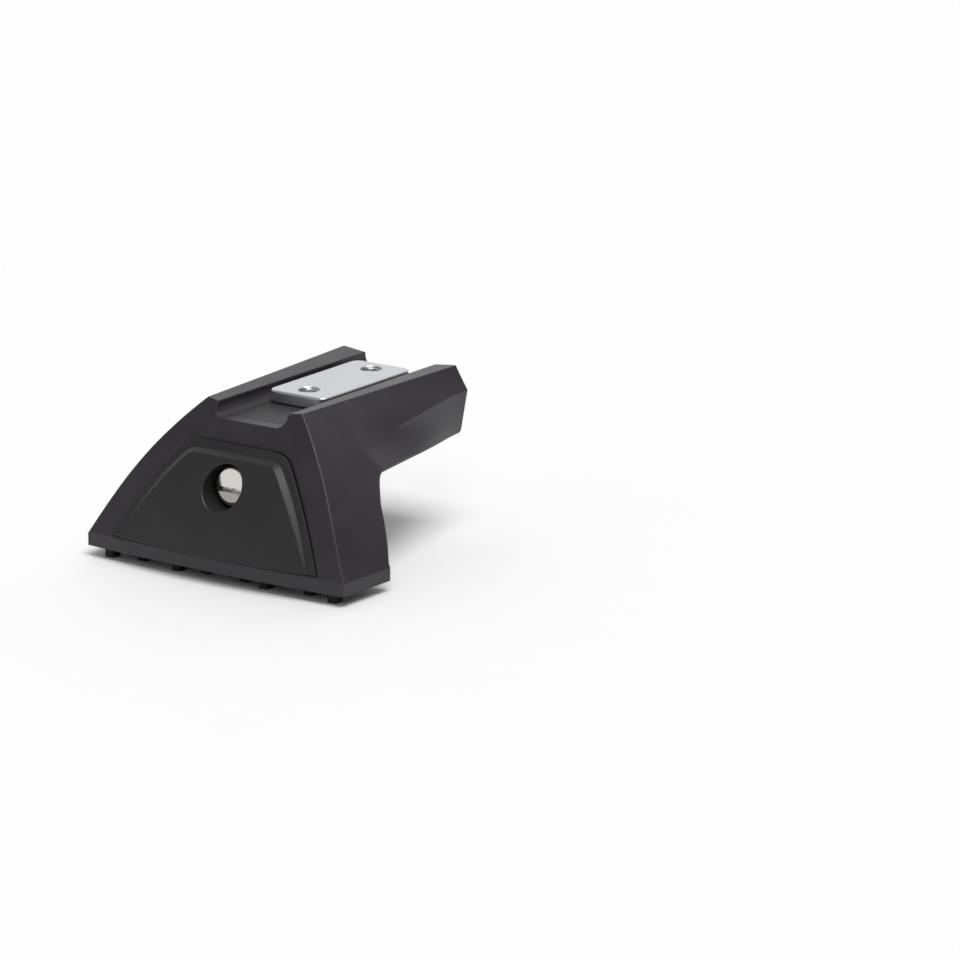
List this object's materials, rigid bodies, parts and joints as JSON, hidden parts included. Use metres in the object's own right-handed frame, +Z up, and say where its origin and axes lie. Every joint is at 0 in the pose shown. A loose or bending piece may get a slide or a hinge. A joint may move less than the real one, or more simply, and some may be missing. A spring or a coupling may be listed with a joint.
{
  "type": "roof bar foot",
  "caption": "Moulded foot that fixes a roof bar to a roof: flared leg with a hinged locking cover, an arm with a bar channel, and a screw-drawn clamp plate.",
  "frame": {"origin": "middle of the two fixing holes, at the underside of the base", "axes": "+Z up, away from the roof; +Y along the bar, away from the cover; +X across the bar"},
  "size_m": [0.1218, 0.1217, 0.0624],
  "materials": {
    "body_plastic": "fine moulded grain",
    "cover_plastic": "smooth satin",
    "liner_rubber": "matt",
    "pad_rubber": "matt",
    "zinc_steel": "bright zinc plated",
    "lock_metal": "nickel plated"
  },
  "bodies": {
    "leg": {"leg_body": "body_plastic", "seat_liner": "liner_rubber", "arm_bush_front": "zinc_steel", "arm_bush_rear": "zinc_steel", "base_pad": "pad_rubber", "base_bush_left": "zinc_steel", "base_bush_right": "zinc_steel", "spreader_plate": "zinc_steel"},
    "cover": {"front_cover": "cover_plastic", "lock_sleeve": "lock_metal", "lock_clip": "zinc_steel"},
    "lock": {"lock_plug": "lock_metal", "lock_cam": "zinc_steel", "cam_screw": "zinc_steel"},
    "plate": {"clamp_plate": "zinc_steel"},
    "screw_front": {"clamp_screw_front": "zinc_steel", "clamp_washer_front": "zinc_steel", "spring_washer_front": "zinc_steel"},
    "screw_rear": {"clamp_screw_rear": "zinc_steel", "clamp_washer_rear": "zinc_steel", "spring_washer_rear": "zinc_steel"}
  },
  "joints": [
    {"name": "cover_swing", "type": "hinge", "parent": "leg", "child": "cover", "pos_m": [0, -0.0186, 0.0055], "axis": [1, 0, 0], "range_deg": [0, 35]},
    {"name": "lock_turn", "type": "hinge", "parent": "cover", "child": "lock", "pos_m": [0, -0.01096, 0.0306], "axis": [0, -0.9925, 0.1219], "range_deg": [0, 90]},
    {"name": "clamp_screw_turn", "type": "hinge", "parent": "leg", "child": "screw_front", "pos_m": [0, 0.043, 0.0387], "axis": [0, 0, 1], "range_deg": [-720, 0]},
    {"name": "rear_screw_turn", "type": "hinge", "parent": "leg", "child": "screw_rear", "pos_m": [0, 0.0822, 0.0387], "axis": [0, 0, 1], "range_deg": [-720, 0]},
    {"name": "plate_lift", "type": "slide", "parent": "leg", "child": "plate", "axis": [0, 0, 1], "range_m": [0, 0.0025]}
  ],
  "couplings": [
    {"joint": "rear_screw_turn", "follows": "clamp_screw_turn", "ratio": 1},
    {"joint": "plate_lift", "follows": "clamp_screw_turn", "m_per_rad": -0.00019894}
  ]
}
